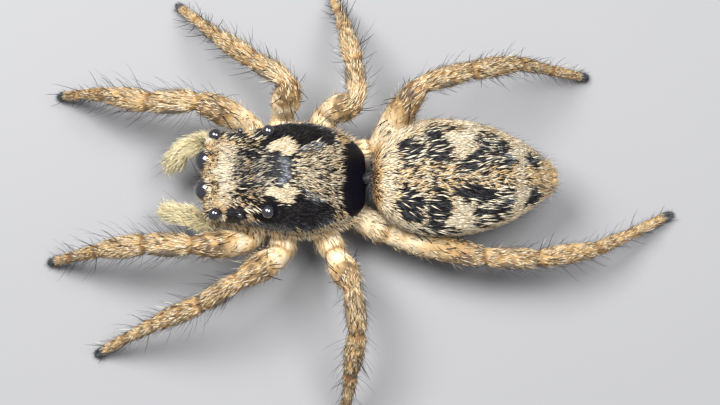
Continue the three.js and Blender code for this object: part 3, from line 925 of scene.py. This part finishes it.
def lashes():
    """A ring of short hairs round each of the four front eyes."""
    outward = lambda points, normals: from_eyes(points)[0]
    style = {"rise": (0.3, 0.9), "roundness": 0.8, "darkest": 0.04}
    coat = coat_over(SHELL, 9000, 25, outward, lash_marks, 0.065, 0.0085, **style)
    gap = from_eyes(coat["root"])[1]
    ring = (gap < 0.05) & (gap > -0.005) & (coat["root"][:, 0] < -1.85)
    return strands("eye_lashes", SHELL, coat, ring, shaded_root_tone=0.5)


def long_hairs(name, ground, per_mm2, seed, lie, length, stays, shade=0.02, rise=(0.4, 1.1), width=0.0062):
    """Fine dark hairs that stand out singly where stays is true of their roots."""
    style = {"rise": rise, "jitter": 25, "darkest": 0.03}
    coat = coat_over(ground, per_mm2, seed, lie, plain(0.0, 0.2, shade), length, width, **style)
    coat["curl"] = -0.4 * coat["rise"]
    return strands(name, ground, coat, stays(coat["root"]), material=BRISTLES)


def abdomen_scales():
    coat = coat_over(HIND, 1900, 12, abdomen_lie, abdomen_marks, 0.115, 0.0142, **BODY_SCALES)
    belly = coat["root"][:, 2] < 0.62
    coat["width"] *= np.where(belly, 0.7, 1.0)
    return strands("abdomen_scales", HIND, coat, slice(None), SCALE_RINGS)


def abdomen_tail(points):
    return points[:, 0] > 2.0 + 0.3 * np.random.default_rng(4).random(len(points))


def belly_hair(name, form, seed):
    """Pale hairs below the fore body, combed back."""
    ground = (form, round_chart(-1.95, 1.8, 0.63), "underside")
    style = {"rise": (0.2, 0.7), "roundness": 0.8}
    coat = coat_over(ground, 1000, seed, combed((1, 0, 0)), plain(0.7, 0.12), 0.11, 0.009, **style)
    return strands(name, ground, coat, coat["normal"][:, 2] < 0.3, shaded_root_tone=0.5)


def tip_tuft():
    """Golden hairs that hang over the spinners."""
    style = {"rise": (-0.1, 0.3), "jitter": 12, "roundness": 0.8, "darkest": 0.3}
    coat = coat_over(HIND, 2200, 19, abdomen_lie, plain(0.95, 0.34), 0.17, 0.01, **style)
    return strands("tip_hair", HIND, coat, coat["root"][:, 0] > 2.42, shaded_root_tone=0.6)


forward, back_up = combed((-1, 0, 0.6), (0, 0.8, 0)), combed((-1, 0, 0.8), (0, 0.4, 0))
on_head = lambda p: (p[:, 0] < -1.5) & (p[:, 2] > 1.0) & ~near_eyes(p)
on_front = lambda p: (p[:, 0] < 0.23) & (p[:, 2] > 0.8)
leaned_coats = [
    carapace_scales(),
    rim_fringe(),
    brow(),
    lashes(),
    long_hairs("head_bristles", SHELL, 55, 15, forward, 0.24, on_head),
]
body_coats = [
    abdomen_scales(),
    long_hairs("abdomen_hairs", HIND, 60, 16, abdomen_lie, 0.17, lambda p: p[:, 0] > 0.2, 0.3, width=0.005),
    long_hairs("tail_hairs", HIND, 70, 17, abdomen_lie, 0.22, abdomen_tail, 0.4, width=0.005),
    long_hairs("waist_hairs", HIND, 1100, 18, back_up, 0.15, on_front, 0.7, (0.3, 1.0)),
    tip_tuft(),
    belly_hair("breast_hair", sternum, 27),
    belly_hair("mouth_hair", mouth, 28),
]

# ---- limbs' coats ----


class Limb:
    """A limb's path, for what lies along it."""

    def __init__(self, line):
        self.path, self.distance, self.joints = line
        self.ahead = unit(np.gradient(self.path, axis=0))

    def near(self, points):
        """Each point's distance along the path, and the path's direction and place there."""
        gaps = np.linalg.norm(points[:, None, :] - self.path[None], axis=2)
        nearest = gaps.argmin(axis=1)
        return self.distance[nearest], self.ahead[nearest], self.path[nearest]

    def lie(self, points, normals):
        return self.near(points)[1]

    def chart(self, points):
        along, ahead, middle = self.near(points)
        out = unit(points - middle)
        level = unit(np.cross(ahead, UPWARD))
        up = np.cross(level, ahead)
        angle = np.arctan2((out * level).sum(axis=1), (out * up).sum(axis=1))
        return unwrapped(along / self.distance[-1], angle / (2 * math.pi) + 0.5)

    def around(self, points):
        """Degrees from the top of the limb."""
        return np.abs(self.chart(points)[:, 1] - 0.5) * 360

    def grain(self, points):
        """Places drawn together along the limb."""
        along, around = self.chart(points).T
        return np.stack([0.3 * along * self.distance[-1], 0.7 * around, 0 * along], axis=1)


def joint_band(along, joint):
    """1 on a joint, fading out on both sides of it."""
    return np.exp(-(((along - joint) / 0.04) ** 2))


class Leg(Limb):
    """A leg's path and the marks along it. Its rise is 0 with a level femur and 1 with an upright one."""

    def __init__(self, line):
        super().__init__(line)
        _, self.hip, self.knee, _, _, self.metatarsus_end, self.tip = self.joints
        self.rise = self.ahead[np.searchsorted(self.distance, 0.5 * (self.hip + self.knee))][2]
        self.steep = ramp(self.rise, 0.6, 0.85)

    def patella_sides(self, points):
        """1 in the bare patch on each side of the patella, and 0 elsewhere."""
        along, around = self.near(points)[0], self.around(points)
        return oval(along, around / 90, (self.knee + 0.3, 0.72), (0.17, 0.3), 0, 0.25)

    def knee_shade(self, points):
        """1 in the dark spots on top of the femur just before the knee, and 0 elsewhere."""
        along, _, middle = self.near(points)
        above = ramp(points[:, 2] - middle[:, 2], 0.0, 0.09)
        spots = np.clip(0.6 + 0.6 * mottle(points, 0.2, 10), 0, 1)
        return above * spots * oval(along, 0 * along, (self.knee - 0.2, 0), (0.15, 1))

    def skin_marks(self, points):
        """Pale at the femur's base, golden beyond, rusty at the joints and dark on the femur's back. An
        upright femur's base is painted lighter, as painted light against the shade on its side.
        """
        along, _, middle = self.near(points)
        along = along + 0.03 * mottle(points, 0.28, 8)
        below = ramp(middle[:, 2] - points[:, 2], -0.02, 0.08)
        femur = self.knee - self.hip
        base_end = self.hip + (0.62 + 0.22 * self.steep) * femur
        base = 1 - ramp(along, base_end - 0.32 * femur, base_end)
        # Painted light: the pale base is made lighter the more upright the femur stands, to offset the shade
        # on an upright femur's side.
        marks = patched(plain(0.5, 0.5)(points), (below, 0.6, 0.55), (base, 0.7 + 0.38 * self.rise, 0.22))
        marks[:, 0] += 0.12 * mottle(points, 0.14, 12)
        marks[:, 1] += 0.12 * mottle(points, 0.25, 13)
        hip, *joints = [joint_band(along, joint) for joint in self.joints[1:6]]
        return patched(
            marks,
            (self.knee_shade(points), 0.16, 0.6, 0.05),
            (0.5 * hip, 0.3, 0.8),
            *((0.85 * joint, 0.3, 0.8) for joint in joints),
            (self.patella_sides(points), 0.25, 0.38, 0.1),
            (ramp(along, self.tip - 0.11, self.tip - 0.06), 0.03, 0.1, 0.1),
        )

    def scale_marks(self, points):
        """The scales of a leg: cream and straw on its back, golden below and rusty at the joints."""
        along, _, middle = self.near(points)
        return patched(
            plain(0.78, 0.23)(points),
            (ramp(middle[:, 2] - points[:, 2], -0.04, 0.06), 0.8, 0.36),
            (ramp(along, self.metatarsus_end - 0.1, self.metatarsus_end + 0.1), 0.85, 0.18),
            *((0.7 * joint_band(along, joint), 0.6, 0.6) for joint in self.joints[3:6]),
        )

    def down_marks(self, points):
        """Fine hairs, straw at the leg's base and grey beyond."""
        start = self.hip + 0.2 + 0.4 * self.steep
        share = ramp(self.near(points)[0], start, self.knee - 0.1)
        return with_marks(0.8 - 0.75 * share, 0.3, 0.25 * share)


def leg_coat(name, form, leg, seed):
    """The scales, bristles, down, spines and claw tuft of a leg, one piece each."""
    ground = (form, leg.chart, "legs")
    _, hip, knee, _, tibia_end, metatarsus_end, tip = leg.joints
    dice = np.random.default_rng(seed + 5)

    def grown(order, per_mm2, marks, length, width, **style):
        """A coat, with how far along the leg and how far round it from the top each root is."""
        coat = coat_over(ground, per_mm2, seed + order, leg.lie, marks, length, width, **style)
        return coat, leg.near(coat["root"])[0], leg.around(coat["root"])

    style = {"grain": leg.grain, "rise": (0.04, 0.2), "jitter": 12, "roundness": 0.25, "darkest": 0.75}
    scales, along, around = grown(0, 1400, leg.scale_marks, 0.14, 0.016, **style)
    fine = np.interp(along, [knee, metatarsus_end, tip], [1.0, 0.75, 0.6])
    scales["width"] *= fine
    scales["length"] *= fine
    scales["marks"][:, 1] += np.where(scales["marks"][:, 0] < 0.6, 0.35, 0)
    scales["marks"][:, 0] = 0.87 * np.maximum(scales["marks"][:, 0], 0.25)
    places = [hip - 0.1, hip, knee - 0.4, knee - 0.2, knee - 0.05, tip]
    cover = np.interp(along, places, [0.2, 0.06, 0.14 - 0.08 * leg.steep, 0.35 - 0.2 * leg.steep, 0.8, 0.75])
    cover *= np.interp(around, [60, 110, 180], [1.0, 0.45, 0.3])
    cover *= 1 - 0.92 * leg.patella_sides(scales["root"])
    cover *= 1 - 0.6 * leg.knee_shade(scales["root"])
    for joint in leg.joints[3:6]:
        cover *= 1 - 0.75 * joint_band(along + 0.04, joint)
    cover[along > tip - 0.14] = 0
    covered = dice.random(len(along)) < cover

    style = {"rise": (0.7, 1.6), "darkest": 0.02}
    longest = BRISTLE_LENGTHS[int(name[4])]
    bristles, along, around = grown(1, 90, plain(0.0, 0.3, 0.1), longest, 0.0092, **style)
    places = [hip, knee - 0.3, knee, tibia_end, metatarsus_end, tip]
    bristles["length"] *= np.interp(along, places, [0.3, 0.5, 0.8, 1.0, 0.8, 0.5])
    bristles["length"] *= 0.5 + 0.7 * dice.random(len(along))
    bristles["curl"] = -0.35 * bristles["rise"]
    chance = np.interp(along, [hip + 0.1, knee - 0.2, knee, tip - 0.1, tip], [0, 0.3, 1.0, 1.0, 0.4])
    chance *= np.interp(around, [0, 40, 70, 140], [0.3, 0.4, 1.0, 1.0])
    bristled = dice.random(len(along)) < chance

    style = {"rise": (0.2, 0.9), "jitter": 16}
    down, along, around = grown(4, 520, leg.down_marks, 0.09, 0.006, **style)
    chance = np.interp(along, [hip, knee - 0.3, tip], [0.7, 0.8, 0.8])
    low = np.interp(along, [hip, knee - 0.3, knee], [0.9, 0.6, 0.3])
    chance *= np.maximum(np.interp(around, [50, 80], [0, 1]), low)
    downy = dice.random(len(along)) < chance

    style = {"rise": (1.0, 1.6), "jitter": 25, "darkest": 0.01}
    spines, along, _ = grown(3, 34, plain(0.0, 0.3), 0.2, 0.0125, **style)
    above = spines["root"][:, 2] > leg.near(spines["root"])[2][:, 2] + 0.04
    spines["curl"] = -0.6 * spines["rise"]
    spines["lie"] *= -1
    spiny = above & (along > hip + 0.4 * (knee - hip)) & (along < knee)

    style = {"rise": (-0.1, 0.4), "jitter": 12, "darkest": 0.03}
    tuft, along, _ = grown(2, 6000, plain(0.0, 0.3, 0.5), 0.105, 0.0065, **style)
    return [
        strands(name + "_scales", ground, scales, covered, SCALE_RINGS, shaded_root_tone=0.65),
        strands(name + "_bristles", ground, bristles, bristled, material=BRISTLES),
        strands(name + "_down", ground, down, downy, material=BRISTLES),
        strands(name + "_spines", ground, spines, spiny, material=BRISTLES),
        strands(name + "_claw_tuft", ground, tuft, along > tip - 0.12, material=BRISTLES),
    ]


coat_pieces = []
for order, (name, (form, line)) in enumerate(legs.items()):
    leg = Leg(line)
    coat_pieces += leg_coat(name, form, leg, 300 + 10 * order)
    give(form, "marks", leg.skin_marks(points_of(form)))

on_palp_front = lambda p: (p[:, 0] < -2.1) & (p[:, 2] > 0.72)
for side, (form, line) in palps.items():
    limb = Limb(line)
    ground = (form, limb.chart, "palps")
    style = {"grain": limb.grain, "rise": (0.05, 0.6), "jitter": 18, "darkest": 0.6}
    seed = 400 + len(side)
    hair = coat_over(ground, 3400, seed, limb.lie, plain(0.98, 0.05), 0.22, 0.0075, **style)
    hair["curl"] = -0.5 * hair["rise"]
    bristles = (f"palp_{side}_bristles", ground, 40, seed + 20, limb.lie, 0.45, on_palp_front)
    coat_pieces += [
        strands(f"palp_{side}_hair", ground, hair, slice(None), material=PALP_HAIR),
        long_hairs(*bristles, rise=(0.3, 0.7)),
    ]
    give(form, "marks", plain(0.6, 0.3)(points_of(form)))


def jaw_hair(jaw, side, sign):
    """Pale hairs that hang down the front of a jaw."""

    def chart(points):
        angle = np.arctan2(points[:, 1] - JAW_OUT * sign, points[:, 0] + 2.0)
        return unwrapped((0.95 - points[:, 2]) / 0.55, angle / (2 * math.pi) + 0.5)

    ground = (jaw, chart, "jaws")
    style = {"rise": (0.1, 0.6), "roundness": 0.8}
    coat = coat_over(ground, 900, 30 + sign, combed((-0.25, 0, -1)), plain(0.75, 0.15), 0.12, 0.008, **style)
    x, _, z = coat["root"].T
    return strands(f"chelicera_{side}_hair", ground, coat, (x < -1.98) & (z > 0.55), shaded_root_tone=0.6)


def joined(name, pieces):
    """One piece made of several closed ones."""
    pick(*pieces)
    bpy.ops.object.join()
    return named(name)


def claws(name, line):
    """Two curved claws side by side at the end of a foot."""
    limb = Limb(line)
    tip, ahead = limb.path[-1], limb.ahead[-1]
    level = unit(np.cross(ahead, UPWARD))
    made = []
    for _, sign in SIDES:
        path = []
        for share in np.linspace(0, 1, len(CLAW_RADII)):
            x, y, z = tip + ahead * (CLAW_LENGTH * share - 0.01) + level * sign * (0.012 + 0.008 * share)
            path.append((x, y, max(z + 0.02 * math.sin(math.pi * share), 0.012)))
        made.append(tube(f"claw_{sign}", path, CLAW_RADII, 2))
    piece = joined(name + "_claws", made)
    piece.data.materials.append(JAW)
    return piece


def under_coat(marks):
    """The skin below a coat: black, but pale where all the coat is pale."""
    light = 0.03 * marks[:, :1] + 0.5 * ramp(marks[:, :1], 0.85, 1.0)
    return np.concatenate([light, marks[:, 1:] * (1.2, 0.2)], axis=1)


shell_points = points_of(carapace)
rear = ramp(shell_points[:, 0], -0.3, -0.2) * (shell_points[:, 2] > RIM_HEIGHT)
by_eyes = 1 - ramp(from_eyes(shell_points)[1], 0.02, 0.06)
bare_marks = patched(under_coat(carapace_marks(shell_points)), (rear, 0.0, 0.0), (by_eyes, 0.0, 0.0))
give(carapace, "marks", bare_marks)
give(abdomen, "marks", under_coat(abdomen_marks(points_of(abdomen))))
for part, shade in [(sternum, 0.3), (mouth, 0.2), (waist, 0.05), *((spinner, 0.6) for spinner in spinners)]:
    give(part, "marks", plain(shade, 0.45)(points_of(part)))


# ---- eyes, jaws and claws ----


def eye_piece(name, side, sign):
    x, y, z, radius = EYES[name]
    middle = np.array((x, sign * y, z))
    gaze = np.array(GAZES.get(name, SIDE_GAZE)) * (1, sign, 1)
    deselect()
    bpy.ops.mesh.primitive_uv_sphere_add(segments=48, ring_count=32, radius=radius, location=middle)
    eye = named(f"eye_{name}_{side}_lens")
    apply_place(eye)

    def bulge(points):
        ahead = np.clip((unit(points - middle) * gaze).sum(axis=1), 0, 1)[:, None]
        return points + gaze * radius * EYE_BULGE * ahead**3

    reshape(eye, bulge)
    clean(eye)
    eye.data.materials.append(EYE)
    lean(eye)
    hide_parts(f"eye_{name}_{side}")
    return eye


eyes = [eye_piece(name, side, sign) for name in EYES for side, sign in SIDES]

jaws = []
for side, sign in SIDES:
    out = JAW_OUT * sign
    line = []
    for a in np.linspace(0, 1, len(JAW_RADII)):
        x = JAW_PLACE - 0.05 * math.sin(math.pi * a)
        line.append((x, out + 0.02 * sign * a, JAW_TOP - JAW_LENGTH * a))
    jaw = tube(f"chelicera_{side}_barrel", line, JAW_RADII, 5, levels=1)
    leaned_coats.append(jaw_hair(jaw, side, sign))
    fang_line = [(x, share * out, z) for x, share, z, _ in FANG]
    fang = tube(f"fang_{side}", fang_line, [radius for *_, radius in FANG], 3, levels=1)
    jaw = joined(f"chelicera_{side}_barrel", [jaw, fang])
    jaw.data.materials.append(JAW)
    lean(jaw)
    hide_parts(f"chelicera_{side}")
    jaws.append(jaw)

coat_pieces += leaned_coats + body_coats
claw_pieces = [claws(name, line) for name, (_, line) in legs.items()]

# ---- one skin over the flesh ----
for part in [carapace, *leaned_coats]:
    lean(part)
parts = [carapace, abdomen, sternum, mouth, waist, *spinners]
parts += [form for form, _ in legs.values()] + [form for form, _ in palps.values()]
for part in parts:
    part.data.materials.clear()
    part.data.materials.append(SKIN)
skin = parts[0]
skin.name = skin.data.name = "skin"
for part in parts[1:]:
    union = skin.modifiers.new("Union", "BOOLEAN")
    union.operation, union.solver, union.object = "UNION", "MANIFOLD", part
    finish_modifiers(skin)
    bpy.data.objects.remove(part)
flesh = [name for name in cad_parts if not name.startswith(("eye", "chelicera"))]
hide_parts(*flesh)

# ---- set down on the frame ----
for piece in [skin, *eyes, *jaws, *claw_pieces, *coat_pieces]:
    piece.data.transform(Matrix.Translation(SET_DOWN) @ Matrix.Scale(MM, 4))
    piece.data.update()
    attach(piece, "root")

# ---- floor, lights and camera ----
deselect()
bpy.ops.mesh.primitive_plane_add(size=0.4, location=(0, 0, 0))
ground = named("floor")
ground.data.materials.append(make_floor_finish())


def light(name, place_mm, size_mm, power):
    deselect()
    bpy.ops.object.light_add(type="AREA", location=Vector(place_mm) * MM)
    lamp = bpy.context.object
    lamp.name = name
    lamp.data.energy, lamp.data.size = power, size_mm * MM
    lamp.rotation_euler = (-lamp.location).to_track_quat("-Z", "Y").to_euler()


light("soft_box_near", (-14, 12, 30), 18, 0.024)
light("soft_box_far", (12, 6, 34), 18, 0.016)
world = bpy.data.worlds.new("studio")
bpy.context.scene.world = world
world.use_nodes = True
world.node_tree.nodes["Background"].inputs["Color"].default_value = (0.93, 0.95, 1.0, 1)
world.node_tree.nodes["Background"].inputs["Strength"].default_value = 0.42

ELEVATION, DISTANCE, VIEW_WIDTH, SENSOR_WIDTH = math.radians(82), 60.0, 9.945, 36
deselect()
away = Vector((0, -math.cos(ELEVATION), math.sin(ELEVATION)))
bpy.ops.object.camera_add(location=SET_DOWN + away * DISTANCE * MM)
camera = bpy.context.object
camera.rotation_euler = away.to_track_quat("Z", "Y").to_euler()
camera.data.sensor_width = SENSOR_WIDTH
camera.data.lens = SENSOR_WIDTH * DISTANCE / VIEW_WIDTH
camera.data.clip_start = 0.001
camera.data.shift_y = -0.0207  # the feet behind reach further than those in front
bpy.context.scene.camera = camera
bpy.context.scene.view_settings.view_transform = "Standard"
